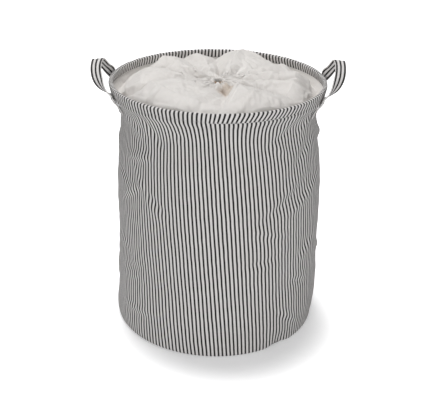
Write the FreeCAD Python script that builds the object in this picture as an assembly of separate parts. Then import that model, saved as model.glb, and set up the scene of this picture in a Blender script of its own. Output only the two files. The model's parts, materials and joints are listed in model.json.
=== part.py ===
"""Collapsible round laundry bag: striped coated canvas on a steel hoop, with a gathered cotton cover.

All sizes are in millimetres. The origin is the centre of the base on the floor, +Z is up, the
front is -Y and the two strap handles stand on the +X and -X sides. Sections are drawn in the XZ
plane with short straight runs. Round pieces are turned about Z in narrow flat gores, and the
others are skinned over a row of sections.
"""

import FreeCAD, Part
import math
import os

from FreeCAD import Vector

# Hoop and rim
hoop_radius = 187.5            # centreline of the steel hoop
hoop_wire_radius = 2.0
wire_end_gap = 1.5             # between the two ends of the wire, inside the sleeve
sleeve_wall = 0.5              # crimped sleeve that joins them
sleeve_fit = 0.05              # between wire and sleeve
sleeve_length = 30.0
rim_height = 460.0             # top of the hem above the floor
hem_depth = 16.0               # from the top of the hem down to its stitch line
hem_ease = 0.15                # between the sleeve and the cloth channel
hem_wrap = 20.0                # degrees that the channel reaches below the hoop's middle

# Cloth
canvas = 1.0                   # coated canvas of wall, hem and base
tape = 0.5                     # seam tape
cotton = 0.8                   # cover cloth
layer_gap = 0.1                # between layers sewn together
body_gap = 0.3                 # between cloths that move against each other

# Wall outline, from the floor up: the cloth bellies over the base and draws in under the rim
base_radius = 187.5
base_corner = 7.0              # rounding where the wall meets the floor
belly_radius = 189.5
belly_height = 60.0
body_radius = 187.0
body_height = 150.0
shoulder_radius = 184.5
shoulder_drop = 190.0          # below the top of the rim
slope_radius = 179.5
slope_drop = 115.0
neck_radius = 173.0
neck_drop = 62.0
sewn_band = 2.0                # upright top edge of the wall, at the hem's stitching

# Base seam
seam_radius = 178.0            # where wall and base are sewn together
seam_upstand = 8.0             # seam allowance turned up inside
seam_fold = 1.5                # outside of the sharp fold at the seam
binding_foot = 2.2             # from the floor to the lower edges of the binding
side_seam_width = 12.0         # tape over the wall's upright seam, at the back

# Handles
strap_width = 22.0
strap_thickness = 2.4
handle_span = 112.0            # between the middles of the two strap ends
handle_forward = 4.6           # degrees that both handles sit in front of the middle
handle_rise = 50.0             # from the fold line to the middle of the strap at its top
handle_bulge = 20.0            # how far the arch bends outwards on its way up
arch_bow = 0.35                # how far both legs bow apart
arch_sharpness = 0.12          # lower is more pointed at the top
twist_start = 0.05             # shares of the rise between which each leg twists by a quarter turn
twist_end = 0.85
strap_foot_out = 8.0           # from the hoop out to the middle of the strap at its fold line
fold_drop = 13.5               # from the top of the rim down to the fold line
fold_gap = 0.15                # between either part of the strap and the fold line
fold_relief = 1.2              # cut-back of the strap's inner face, which lets it stand upright
tab_length = 33.0              # sewn end below the fold line
tab_turn_growth = 3            # above 1 keeps the sewn end on the wall for longer

# Cover
cover_edge_rise = 0.4          # from the stitch line up to the sewn edge
cover_edge_gap = 0.5           # between the sewn edge and the hem
cover_dip = 2.5                # sinking of the cloth just inside the rim
cover_dip_share = 0.12         # how much of the way to the mouth that dip takes
cover_puff = 22.5              # rise of the puffed ring above the sewn edge
cover_mouth_rise = 10.5        # rise of the gathered mouth above the sewn edge
cover_swell_share = 0.35       # where the cover reaches its full puff

# Crests of the cover: direction in degrees from +X, height above the puffed ring
cover_crests = (
    (4.0, 4.0),
    (38.0, 3.0),
    (70.0, 12.0),
    (104.0, 5.0),
    (135.0, 7.0),
    (168.0, 5.0),
    (198.0, 2.0),
    (236.0, 7.0),
    (292.0, 8.0),
    (332.0, 5.0),
)
valley_depth = 7.0             # of the valleys between crests, below the puffed ring
crest_roundness = 0.8          # lower is flatter on top

# Drawstring mouth
cord_radius = 1.6
cord_ring_radius = 11.0
cord_ease = 0.4                # between the cord and its channel
mouth_foot = 3.0               # from the cord's middle down to the stitching of its channel
mouth_pleats = 12
mouth_pleat_depth = 1.0

# Fineness of curved forms
gores = 64                     # flat gores round the bag
wall_runs = 8                  # straight runs up the wall
wall_run_growth = 1.35         # above 1 has shorter runs at the neck
corner_runs = 2
hem_runs = 5                   # over the hoop
wire_sides = 8
strap_sections = 25
strap_run_growth = 1.4         # above 1 has shorter runs at the top of the arch
tab_sections = 9
crest_sections = 6             # across one crest of the cover
cover_runs = 8                 # from the rim to the mouth
cover_run_growth = 1.5         # above 1 has shorter runs beside the rim
pleat_sections = 4             # across one pleat of the mouth
cord_sections = 32

origin = Vector(0, 0, 0)
up = Vector(0, 0, 1)
stitch_height = rim_height - hem_depth
wall_top = stitch_height - body_gap
fold_height = rim_height - fold_drop
strap_foot_radius = hoop_radius + strap_foot_out
sleeve_radius = hoop_wire_radius + sleeve_fit + sleeve_wall
hem_bore = sleeve_radius + hem_ease
hoop_height = rim_height - canvas - hem_bore
cover_edge_height = stitch_height + cover_edge_rise
mouth_level = cover_edge_height + cover_mouth_rise
mouth_bore = cord_radius + cord_ease + mouth_pleat_depth
mouth_reach = cord_ring_radius + mouth_bore + cotton + mouth_pleat_depth


# ------------------------------------------------------------------ working methods

def spot(x, z):
    """Point of a section in the XZ plane."""
    return Vector(x, 0, z)


def arc_spots(x, z, radius, start, end, runs):
    """Points on an arc about (x, z), from one angle to another in degrees."""
    spots = []
    for step in range(runs + 1):
        turn = math.radians(start + (end - start) * step / runs)
        spots.append(spot(x + radius * math.cos(turn), z + radius * math.sin(turn)))
    return spots


def cloth(spots, thickness):
    """Closed section of a cloth that lies on the left of a path of points."""
    outline = Part.makePolygon(spots).makeOffset2D(thickness, 2, True, True, False)
    return [vertex.Point for vertex in outline.OuterWire.OrderedVertexes]


def add_face(faces, spots):
    """Add a face over a ring of points, unless points that meet on the axis leave it no area."""
    ring = [place for place, before in zip(spots, spots[-1:] + spots) if not place.isEqual(before, 1e-6)]
    if len(ring) > 2:
        faces.append(Part.Face(Part.makePolygon(ring + ring[:1])))


def add_triangles(faces, quad):
    """Two triangles over four corners, split along the shorter diagonal."""
    if quad[0].distanceToPoint(quad[2]) > quad[1].distanceToPoint(quad[3]):
        quad = quad[1:] + quad[:1]
    add_face(faces, quad[:3])
    add_face(faces, [quad[0], quad[2], quad[3]])


def skinned(sections, around=False, flat=False):
    """Closed solid over a row of like sections.

    around joins the last section to the first, and flat says that neighbouring sections have
    flat strips between them, which then need no diagonal.
    """
    faces = []
    pairs = list(zip(sections, sections[1:]))
    if around:
        pairs.append((sections[-1], sections[0]))
    else:
        add_face(faces, sections[0])
        add_face(faces, sections[-1])
    for near, far in pairs:
        for index in range(len(near)):
            following = (index + 1) % len(near)
            quad = [near[index], near[following], far[following], far[index]]
            if flat:
                add_face(faces, quad)
            else:
                add_triangles(faces, quad)
    shell = Part.makeShell(faces)
    shell.sewShape()
    solid = Part.makeSolid(shell)
    if solid.Volume < 0:
        solid.reverse()
    return solid


def turned(spots, start=0.0, degrees=360.0):
    """Section turned about the bag's axis in flat gores, all the way or from one direction on."""
    gore = 360 / gores
    directions = [gore * step for step in range(math.ceil(start / gore), gores)]
    around = degrees == 360.0
    if not around:
        end = start + degrees
        inside = [gore * step for step in range(math.floor(start / gore) + 1, math.ceil(end / gore))]
        directions = [start] + inside + [end]
    sections = []
    for direction in directions:
        turn = math.radians(direction)
        from_flat = math.radians(direction % gore - gore / 2)
        inwards = math.cos(math.radians(gore / 2)) / math.cos(from_flat)
        out = Vector(math.cos(turn), math.sin(turn), 0) * inwards
        sections.append([out * place.x + up * place.z for place in spots])
    return skinned(sections, around, flat=True)


def smooth(share):
    """Even start and stop between 0 and 1."""
    share = min(1.0, max(0.0, share))
    return share * share * (3.0 - 2.0 * share)


# ------------------------------------------------------------------ bag: wall and base

def wall_curve():
    """Outside of the wall from the base corner to the hem."""
    curve = Part.BSplineCurve()
    curve.interpolate([
        spot(base_radius, base_corner),
        spot(belly_radius, belly_height),
        spot(body_radius, body_height),
        spot(shoulder_radius, rim_height - shoulder_drop),
        spot(slope_radius, rim_height - slope_drop),
        spot(neck_radius, rim_height - neck_drop),
        spot(hoop_radius + layer_gap + canvas, wall_top - sewn_band),
    ])
    return curve.toShape()


def wall_spots():
    """The same outline in straight runs, shorter round the neck."""
    curve = wall_curve()
    spots = []
    for step in range(wall_runs + 1):
        share = step / wall_runs
        length = curve.Length * (1 - (1 - share) ** wall_run_growth)
        spots.append(curve.valueAt(curve.getParameterByLength(length)))
    return spots + [spots[-1] + up * sewn_band]


def wall_radius_at(height):
    level = Part.makeLine(spot(0, height), spot(2 * hoop_radius, height))
    outline = Part.makePolygon(wall_spots())
    return outline.distToShape(level)[1][0][0].x


def make_wall():
    """Wall cloth: allowance turned up inside, out along the floor, round the corner and up."""
    path = [spot(seam_radius, seam_upstand)]
    path += arc_spots(seam_radius + seam_fold, seam_fold, seam_fold, 180, 270, 1)
    corner = arc_spots(base_radius - base_corner, base_corner, base_corner, 270, 360, corner_runs)
    return turned(cloth(path + corner + wall_spots()[1:], canvas))


def make_base_panel():
    """Round base with its own allowance turned up against the wall's."""
    edge = seam_radius - layer_gap
    path = [origin]
    path += arc_spots(edge - seam_fold, seam_fold, seam_fold, 270, 360, 1)
    path.append(spot(edge, seam_upstand))
    return turned(cloth(path, canvas))


def make_base_binding():
    """Tape folded over both allowances."""
    middle = seam_radius - layer_gap / 2
    half = layer_gap / 2 + canvas + layer_gap
    top = seam_upstand + layer_gap
    path = [
        spot(middle + half, binding_foot),
        spot(middle + half, top),
        spot(middle - half, top),
        spot(middle - half, binding_foot),
    ]
    return turned(cloth(path, -tape))


def make_side_seam_tape():
    """Tape over the upright seam, inside the back of the wall."""
    inner = Part.makePolygon(wall_spots()).makeOffset2D(canvas + layer_gap, 2, False, True, False)
    seated = [vertex.Point for vertex in inner.OrderedVertexes]
    spread = math.degrees(side_seam_width / base_radius)
    return turned(cloth(seated, tape), 90 - spread / 2, spread)


# ------------------------------------------------------------------ rim: hem, hoop and sewn handle ends

def channel(foot, radius):
    """Path from the stitch line up over the hoop and down, its arc clear of the radius."""
    wrap = 180 + 2 * hem_wrap
    clear = radius / math.cos(math.radians(wrap / hem_runs / 2))
    arc = arc_spots(hoop_radius, hoop_height, clear, -hem_wrap, 180 + hem_wrap, hem_runs)
    return [spot(hoop_radius + foot, stitch_height)] + arc + [spot(hoop_radius - foot, stitch_height)]


def make_rim_hem():
    """Top of the wall cloth turned in over the hoop and stitched down."""
    outside = channel(layer_gap + canvas, hem_bore + canvas)
    inside = channel(layer_gap, hem_bore)
    return turned(outside + inside[::-1])


def make_rim_wire():
    """Steel wire bent to a hoop, its ends a little apart at the back."""
    gap = math.degrees(wire_end_gap / hoop_radius)
    outline = arc_spots(hoop_radius, hoop_height, hoop_wire_radius, 0, 360, wire_sides)
    return turned(outline[:-1], 90 + gap / 2, 360 - gap)


def make_wire_sleeve():
    """Flat-sided sleeve crimped over the two ends of the wire."""
    spread = math.degrees(sleeve_length / hoop_radius)
    start = 90 - spread / 2
    outline = arc_spots(hoop_radius, hoop_height, sleeve_radius, 0, 360, wire_sides)
    bore = arc_spots(hoop_radius, hoop_height, hoop_wire_radius + sleeve_fit, 0, 360, wire_sides)
    return turned(outline[:-1], start, spread).cut(turned(bore[:-1], start, spread))


class HandlePlace:
    """Where one handle stands: outwards from the bag, along its rim, and its two feet."""

    def __init__(self, side):
        middle = math.radians(-handle_forward if side > 0 else 180 + handle_forward)
        self.out = Vector(math.cos(middle), math.sin(middle), 0)
        self.along = Vector(-math.sin(middle), math.cos(middle), 0)
        self.front = -side
        self.foot_along = handle_span / 2
        self.foot_out = math.sqrt(strap_foot_radius ** 2 - self.foot_along ** 2)
        self.foot_angle = math.atan2(self.foot_along, self.foot_out)

    def at(self, along, out, height):
        return self.along * along + self.out * out + up * height


def strap_section(centre, across, facing):
    """Corners of the strap at one place, from its width and outward directions."""
    half_width = across * (strap_width / 2)
    half_thick = facing * (strap_thickness / 2)
    return [
        centre - half_width - half_thick,
        centre + half_width - half_thick,
        centre + half_width + half_thick,
        centre - half_width + half_thick,
    ]


def make_sewn_end(place, foot):
    """End of the strap below the fold line: flat on the wall, then turning square to the fold."""
    sections = []
    top = fold_height - fold_gap
    flare = wall_radius_at(wall_top) - wall_radius_at(top - tab_length)
    level_half = math.hypot(flare, tab_length) / tab_length * strap_thickness / 2
    for step in range(tab_sections):
        share = step / (tab_sections - 1)
        turned = share ** tab_turn_growth
        height = top - tab_length * (1 - share)
        seated = wall_radius_at(min(height, wall_top)) + body_gap + level_half
        radius = seated + (strap_foot_radius - seated) * turned
        angle = place.foot_angle * foot
        centre = place.at(radius * math.sin(angle), radius * math.cos(angle), height)
        skew = angle * (1 - turned)
        across = place.at(math.cos(skew), -math.sin(skew), 0)
        facing = place.at(math.sin(skew), math.cos(skew), 0)
        sections.append(strap_section(centre, across, facing))
    return skinned(sections)


def strap_share(across):
    """Share of the arch's rise: across is -1 and 1 at the feet and 0 at the top."""
    foot = math.hypot(1, arch_sharpness)
    return (foot - math.hypot(across, arch_sharpness)) / (foot - arch_sharpness)


def make_strap(place):
    """Strap loop above the fold line: both legs rise flat to the rim and twist into a pointed arch."""
    lean = math.atan2(handle_bulge * math.pi / 2, handle_rise)
    rising = place.out * math.sin(lean) + up * math.cos(lean)
    facing_out = place.out * math.cos(lean) - up * math.sin(lean)
    fold_line = place.at(0, place.foot_out + strap_thickness / 2, fold_height)
    base = fold_line - facing_out * (strap_thickness / 2)
    steps = [2 * step / (strap_sections - 1) - 1 for step in range(strap_sections)]
    places = [math.copysign(abs(step) ** strap_run_growth, step) for step in steps]
    centres = []
    for across in places:
        share = strap_share(across)
        along = place.foot_along * across * (1 + arch_bow * (1 - across ** 2))
        bulge = handle_bulge * math.sin(math.pi / 2 * share)
        centres.append(base + place.at(along, bulge, handle_rise * share))
    headings = [rising] + [after - before for before, after in zip(centres, centres[2:])] + [-rising]
    sections = []
    for across, centre, heading in zip(places, centres, headings):
        heading.normalize()
        twist = math.pi / 2 * smooth((strap_share(across) - twist_start) / (twist_end - twist_start))
        edge = place.along * math.copysign(math.cos(twist), across) - place.out * math.sin(twist)
        facing = heading.cross(edge)
        facing.normalize()
        sections.append(strap_section(centre, facing.cross(heading), facing))
    for end in (sections[0], sections[-1]):
        for corner in range(4):
            inner = corner < 2
            end[corner] = end[corner] + rising * (fold_relief if inner else fold_gap)
    return skinned(sections)


# ------------------------------------------------------------------ cover

def valley_after(index):
    """Direction of the valley between one crest and the next."""
    here = cover_crests[index % len(cover_crests)][0]
    following = cover_crests[(index + 1) % len(cover_crests)][0]
    return here + ((following - here) % 360) / 2


def cover_spot(share, direction, crest):
    """Point on top of the cover: share 0 at the sewn edge and 1 at the mouth."""
    outer = hoop_radius - layer_gap - canvas - cover_edge_gap
    radius = outer + (mouth_reach + body_gap - outer) * share
    dip = cover_dip * math.sin(math.pi * min(1.0, share / cover_dip_share))
    puff = cover_puff * smooth(share / cover_swell_share)
    settle = (cover_puff - cover_mouth_rise) * smooth(2 * share - 1)
    folds = crest * smooth(share / cover_swell_share) * smooth((1 - share) / cover_swell_share)
    turn = math.radians(direction)
    height = cover_edge_height - dip + puff - settle + folds
    return Vector(radius * math.cos(turn), radius * math.sin(turn), height)


def make_cover():
    """Cotton cover: sewn inside the hem, puffed up and gathered to the mouth in round crests."""
    sections = []
    drop = up * cotton
    cover_shares = [(run / cover_runs) ** cover_run_growth for run in range(cover_runs + 1)]
    for index, (middle, height) in enumerate(cover_crests):
        start = valley_after(index - 1)
        span = (valley_after(index) - start) % 360
        for step in range(crest_sections):
            across = step / crest_sections
            rounding = math.sin(math.pi * across) ** crest_roundness
            crest = (height + valley_depth) * rounding - valley_depth
            direction = start + span * across
            upper = [cover_spot(share, direction, crest) for share in cover_shares]
            lower = [place - drop for place in upper]
            sections.append(upper + lower[::-1])
    return skinned(sections, around=True)


# ------------------------------------------------------------------ drawstring mouth

def ring_sections(spots, directions, pleat_depth):
    """A section repeated round the axis, pushed in and out by the pleats."""
    sections = []
    for step in range(directions):
        turn = 2 * math.pi * step / directions
        shift = pleat_depth * math.cos(mouth_pleats * turn)
        out = Vector(math.cos(turn), math.sin(turn), 0)
        sections.append([out * (place.x + shift) + up * place.z for place in spots])
    return sections


def make_mouth_channel():
    """Edge of the cover turned over the drawcord, gathered in pleats round the open mouth."""
    half = mouth_bore
    edge = [
        spot(cord_ring_radius + half, mouth_level - mouth_foot),
        spot(cord_ring_radius + half, mouth_level + half / 2),
        spot(cord_ring_radius + half / 2, mouth_level + half),
        spot(cord_ring_radius - half / 2, mouth_level + half),
        spot(cord_ring_radius - half, mouth_level + half / 2),
        spot(cord_ring_radius - half, mouth_level - mouth_foot),
    ]
    spots = cloth(edge, -cotton)
    return skinned(ring_sections(spots, mouth_pleats * pleat_sections, mouth_pleat_depth), around=True)


def make_drawcord():
    """Cord inside the channel, drawn to a small ring."""
    outline = arc_spots(cord_ring_radius, mouth_level, cord_radius, 0, 360, wire_sides)[:-1]
    return skinned(ring_sections(outline, cord_sections, 0), around=True)


def save(name, shape):
    shape.exportStep("parts/" + name + ".step")


def main():
    os.makedirs("parts", exist_ok=True)
    save("wall", make_wall())
    save("base_panel", make_base_panel())
    save("base_binding", make_base_binding())
    save("side_seam_tape", make_side_seam_tape())
    save("rim_hem", make_rim_hem())
    save("rim_wire", make_rim_wire())
    save("wire_sleeve", make_wire_sleeve())
    for side, name in ((-1, "left"), (1, "right")):
        place = HandlePlace(side)
        save(name + "_tab_front", make_sewn_end(place, place.front))
        save(name + "_tab_back", make_sewn_end(place, -place.front))
        save(name + "_handle_strap", make_strap(place))
    save("cover", make_cover())
    save("mouth_channel", make_mouth_channel())
    save("drawcord", make_drawcord())


main()
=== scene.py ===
"""Striped round laundry bag: ticking wall on a steel hoop, two strap handles and a gathered cotton cover.

Everything is in metres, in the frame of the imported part: the origin is under the middle of the
base, +Z is up and the front is -Y. The file is laid out as an add-on: sizes and colours are
property groups, each piece or group of like pieces has an operator, and a sidebar panel lists them.
"""

import bisect
import json
import math

import bmesh
import bpy
from mathutils import Matrix, Vector, noise


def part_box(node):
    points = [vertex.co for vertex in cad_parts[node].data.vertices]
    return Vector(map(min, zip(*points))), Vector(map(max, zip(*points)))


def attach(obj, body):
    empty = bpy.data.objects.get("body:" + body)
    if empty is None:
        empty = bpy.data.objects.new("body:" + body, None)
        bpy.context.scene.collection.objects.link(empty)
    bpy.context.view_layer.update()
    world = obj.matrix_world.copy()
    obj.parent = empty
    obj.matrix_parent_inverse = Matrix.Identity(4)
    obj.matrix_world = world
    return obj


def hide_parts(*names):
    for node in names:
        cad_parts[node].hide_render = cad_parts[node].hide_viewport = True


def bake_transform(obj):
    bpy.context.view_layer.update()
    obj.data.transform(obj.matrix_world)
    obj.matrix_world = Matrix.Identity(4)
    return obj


bl_info = {
    "name": "Striped laundry bag",
    "version": (1, 0, 0),
    "blender": (4, 5, 0),
    "location": "3D View > Sidebar > Laundry bag",
    "description": "Builds a round striped laundry bag with two strap handles and a gathered cover",
    "category": "Add Mesh",
}

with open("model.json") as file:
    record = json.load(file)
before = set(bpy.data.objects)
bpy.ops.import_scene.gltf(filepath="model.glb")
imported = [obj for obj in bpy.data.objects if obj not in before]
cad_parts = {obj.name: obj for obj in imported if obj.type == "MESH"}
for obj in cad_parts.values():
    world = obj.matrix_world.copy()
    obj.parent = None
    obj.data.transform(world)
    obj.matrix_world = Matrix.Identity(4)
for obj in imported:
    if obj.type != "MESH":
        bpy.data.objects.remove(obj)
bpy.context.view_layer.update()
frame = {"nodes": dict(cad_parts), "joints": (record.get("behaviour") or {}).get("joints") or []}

MM = 0.001
HEM_LOW, HEM_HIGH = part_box("rim_hem")
WALL_LOW, WALL_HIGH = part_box("wall")
COVER_LOW, COVER_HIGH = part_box("cover")
MOUTH_LOW, MOUTH_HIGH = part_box("mouth_channel")
CORD_LOW, CORD_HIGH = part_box("drawcord")


# ------------------------------------------------------------------ colours and sizes

def linear(colour):
    """sRGB hex value, such as #C8A070, as a linear colour with full alpha."""
    values = [int(colour[place:place + 2], 16) / 255 for place in (1, 3, 5)]
    return tuple(v / 12.92 if v <= 0.04045 else ((v + 0.055) / 1.055) ** 2.4 for v in values) + (1.0,)


class BagColours(bpy.types.PropertyGroup):
    light_stripe: bpy.props.FloatVectorProperty(
        name="Light stripe", description="Undyed yarn of the ticking", subtype="COLOR", size=4,
        min=0, max=1, default=linear("#E6E4E3"))
    dark_stripe: bpy.props.FloatVectorProperty(
        name="Dark stripe", description="Black yarn of the ticking", subtype="COLOR", size=4,
        min=0, max=1, default=linear("#211F20"))
    cover: bpy.props.FloatVectorProperty(
        name="Cover", description="Bleached cotton of the cover", subtype="COLOR", size=4,
        min=0, max=1, default=linear("#E3E0DD"))
    cord: bpy.props.FloatVectorProperty(
        name="Drawcord", description="Undyed cotton cord", subtype="COLOR", size=4,
        min=0, max=1, default=linear("#B49C84"))


class BagSizes(bpy.types.PropertyGroup):
    stripes: bpy.props.IntProperty(
        name="Stripes", description="Dark stripes round the bag", default=168, min=20, max=400)
    dark_share: bpy.props.FloatProperty(
        name="Dark share", description="Share of each stripe repeat that is dark", default=0.44,
        min=0.1, max=0.9, subtype="FACTOR")
    canvas: bpy.props.FloatProperty(
        name="Canvas", description="Thickness of the ticking", default=0.001, unit="LENGTH")
    cotton: bpy.props.FloatProperty(
        name="Cotton", description="Thickness of the cover cloth", default=0.0007, unit="LENGTH")
    twist: bpy.props.FloatProperty(
        name="Twist", description="How far the stripes turn round the bag from rim to floor",
        default=math.radians(8), subtype="ANGLE")
    strap_width: bpy.props.FloatProperty(
        name="Strap width", description="Width of the handle straps", default=0.019, unit="LENGTH")
    strap: bpy.props.FloatProperty(
        name="Strap", description="Thickness of the handle straps", default=0.0022, unit="LENGTH")


def sizes():
    return bpy.context.scene.laundry_bag_sizes


def colours():
    return bpy.context.scene.laundry_bag_colours


# ------------------------------------------------------------------ working methods

def smooth(share):
    """Even start and stop between 0 and 1."""
    share = min(1.0, max(0.0, share))
    return share * share * (3 - 2 * share)


def direction_of(place):
    """Direction round the bag in degrees from +X."""
    return math.degrees(math.atan2(place.y, place.x)) % 360


def turns_of(place):
    """Turns round the bag, counted from the back."""
    return (math.atan2(place.y, place.x) / math.tau - 0.25) % 1.0


def curve_through(knots, runs):
    """Evenly spaced spots on a soft curve through knots of (radius, height)."""
    ends = [knots[0]] + list(knots) + [knots[-1]]
    fine = []
    for a, b, c, d in zip(ends, ends[1:], ends[2:], ends[3:]):
        for step in range(16):
            t = step / 16
            fine.append(Vector([
                0.5 * (2 * q + (r - p) * t + (2 * p - 5 * q + 4 * r - s) * t ** 2 + (3 * q - p - 3 * r + s) * t ** 3)
                for p, q, r, s in zip(a, b, c, d)]))
    fine.append(Vector(knots[-1]))
    lengths = [0.0]
    for before, after in zip(fine, fine[1:]):
        lengths.append(lengths[-1] + (after - before).length)
    spots, place = [], 0
    for run in range(runs + 1):
        wanted = lengths[-1] * run / runs
        while place < len(fine) - 2 and lengths[place + 1] < wanted:
            place += 1
        share = (wanted - lengths[place]) / max(1e-12, lengths[place + 1] - lengths[place])
        spots.append(fine[place].lerp(fine[place + 1], min(1.0, share)))
    return spots


def turned(spots, steps, closed=False):
    """Spots of (radius, height) turned about the upright axis, starting at the back."""
    made = bmesh.new()
    row = [made.verts.new((0, radius, height)) for radius, height in spots]
    edges = [made.edges.new(pair) for pair in zip(row, row[1:])]
    if closed:
        edges.append(made.edges.new((row[-1], row[0])))
    bmesh.ops.spin(made, geom=row + edges, cent=(0, 0, 0), axis=(0, 0, 1), dvec=(0, 0, 0),
                   angle=math.tau, steps=steps, use_merge=True, use_duplicate=False)
    bmesh.ops.remove_doubles(made, verts=made.verts[:], dist=1e-6)
    return made


def face_along(made, wanted):
    """Turn all faces so that the first one looks along the wanted direction at its place."""
    bmesh.ops.recalc_face_normals(made, faces=made.faces[:])
    made.faces.ensure_lookup_table()
    first = made.faces[0]
    if first.normal.dot(wanted(first.calc_center_median())) < 0:
        bmesh.ops.reverse_faces(made, faces=made.faces[:])


def map_stripes(made, along, lean=lambda place: 0.0):
    """UV map of the ticking: across counts stripes, and along is in metres."""
    layer = made.loops.layers.uv.new("cloth")
    count = sizes().stripes
    for face in made.faces:
        middle = turns_of(face.calc_center_median())
        for loop in face.loops:
            turn = turns_of(loop.vert.co)
            turn += round(middle - turn)
            loop[layer].uv = (turn * count + lean(loop.vert.co), along(loop.vert.co))


def piece(name, made, material):
    """Finished mesh object with its material, smooth shading and the slot it takes its finish from."""
    mesh = bpy.data.meshes.new(name)
    made.to_mesh(mesh)
    made.free()
    mesh.polygons.foreach_set("use_smooth", [True] * len(mesh.polygons))
    thing = bpy.data.objects.new(name, mesh)
    bpy.context.scene.collection.objects.link(thing)
    mesh.materials.append(material)
    return thing


def thicken(thing, thickness, offset=-1.0):
    """Give a cloth its thickness, inwards from the faces."""
    change = thing.modifiers.new("Thickness", "SOLIDIFY")
    change.thickness = thickness
    change.offset = offset
    change.use_even_offset = False


# ------------------------------------------------------------------ materials

def add(tree, kind, settings=None, links=None):
    """Add a node to a tree, with its settings and what its inputs are linked from."""
    made = tree.nodes.new(kind)
    for name, value in (settings or {}).items():
        if isinstance(name, int) or name in made.inputs:
            made.inputs[name].default_value = value
        else:
            setattr(made, name, value)
    for name, source in (links or {}).items():
        tree.links.new(source, made.inputs[name])
    return made


def new_material(name):
    made = bpy.data.materials.new(name)
    made.use_nodes = True
    made.node_tree.nodes.clear()
    return made, made.node_tree


def maths(tree, operation, first, second=None, third=None):
    """Output of a Math node over values or linked outputs."""
    settings, links = {"operation": operation}, {}
    for place, value in enumerate((first, second, third)):
        if isinstance(value, (int, float)):
            settings[place] = value
        elif value is not None:
            links[place] = value
    return add(tree, "ShaderNodeMath", settings, links).outputs[0]


def finish_shader(tree, colour, bump, roughness, sheen=0.0):
    shader = add(tree, "ShaderNodeBsdfPrincipled",
                 {"Roughness": roughness, "Sheen Weight": sheen, "Sheen Roughness": 0.5, "Specular IOR Level": 0.3},
                 {"Base Color": colour, "Normal": bump})
    add(tree, "ShaderNodeOutputMaterial", links={"Surface": shader.outputs[0]})
    return shader


def ticking(name="cotton ticking canvas, coated inside"):
    """Plain-woven cotton with black and undyed warp stripes, matt, with a soft hand from washing.

    Stripes are 2.8 mm dark and 4.3 mm light. The threads are 0.45 mm apart and are drawn at 1.2 mm,
    because the real ones are finer than a render of the whole bag can show.
    """
    if name in bpy.data.materials:
        return bpy.data.materials[name]
    made, tree = new_material(name)
    cloth = add(tree, "ShaderNodeUVMap", {"uv_map": "cloth"}).outputs[0]
    parts = add(tree, "ShaderNodeSeparateXYZ", links={0: cloth})
    across, along = parts.outputs[0], parts.outputs[1]
    place = add(tree, "ShaderNodeTexCoord").outputs["Object"]
    # Warp yarns wander a little along their length
    wander = add(tree, "ShaderNodeTexNoise", {"Scale": 45.0, "Detail": 1.0}, {"Vector": place}).outputs[0]
    drifting = maths(tree, "ADD", across, maths(tree, "MULTIPLY", maths(tree, "SUBTRACT", wander, 0.5), 0.14))
    in_repeat = maths(tree, "ABSOLUTE", maths(tree, "SUBTRACT", maths(tree, "FRACT", drifting), 0.5))
    half = sizes().dark_share / 2
    dark = add(tree, "ShaderNodeMapRange",
               {"interpolation_type": "SMOOTHSTEP", "From Min": half + 0.025, "From Max": half - 0.025,
                "To Min": 0.0, "To Max": 1.0}, {"Value": in_repeat}).outputs[0]
    # Threads: six across each repeat, and as wide along
    weft = maths(tree, "SINE", maths(tree, "MULTIPLY", along, math.tau / 0.0012))
    warp = maths(tree, "SINE", maths(tree, "MULTIPLY", across, math.tau * 6))
    weave = maths(tree, "MULTIPLY", weft, warp)
    cloudy = add(tree, "ShaderNodeTexNoise", {"Scale": 22.0, "Detail": 4.0, "Roughness": 0.6}, {"Vector": place}).outputs[0]
    slubs = add(tree, "ShaderNodeTexNoise", {"Scale": 900.0, "Detail": 2.0}, {"Vector": place}).outputs[0]
    light = add(tree, "ShaderNodeMix", {"data_type": "RGBA", 6: colours().light_stripe, 7: linear("#D6D3D0")},
                {0: maths(tree, "MULTIPLY", cloudy, 0.55)}).outputs[2]
    black = add(tree, "ShaderNodeMix", {"data_type": "RGBA", 6: colours().dark_stripe, 7: linear("#363334")},
                {0: maths(tree, "MULTIPLY", slubs, 0.6)}).outputs[2]
    yarns = add(tree, "ShaderNodeMix", {"data_type": "RGBA"}, {0: dark, 6: light, 7: black}).outputs[2]
    # Painted shade: the hollows of the weave, where the thread relief is low, are darkened in the colour
    shaded = add(tree, "ShaderNodeMix", {"data_type": "RGBA", "blend_type": "MULTIPLY", 7: linear("#C9C6C3")},
                 {0: maths(tree, "MULTIPLY_ADD", weave, -0.12, 0.12), 6: yarns}).outputs[2]
    relief = maths(tree, "ADD", weave, maths(tree, "MULTIPLY", slubs, 1.2))
    bump = add(tree, "ShaderNodeBump", {"Strength": 0.35, "Distance": 0.00012}, {"Height": relief}).outputs[0]
    finish_shader(tree, shaded, bump, 0.85, 0.05)
    return made


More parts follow.
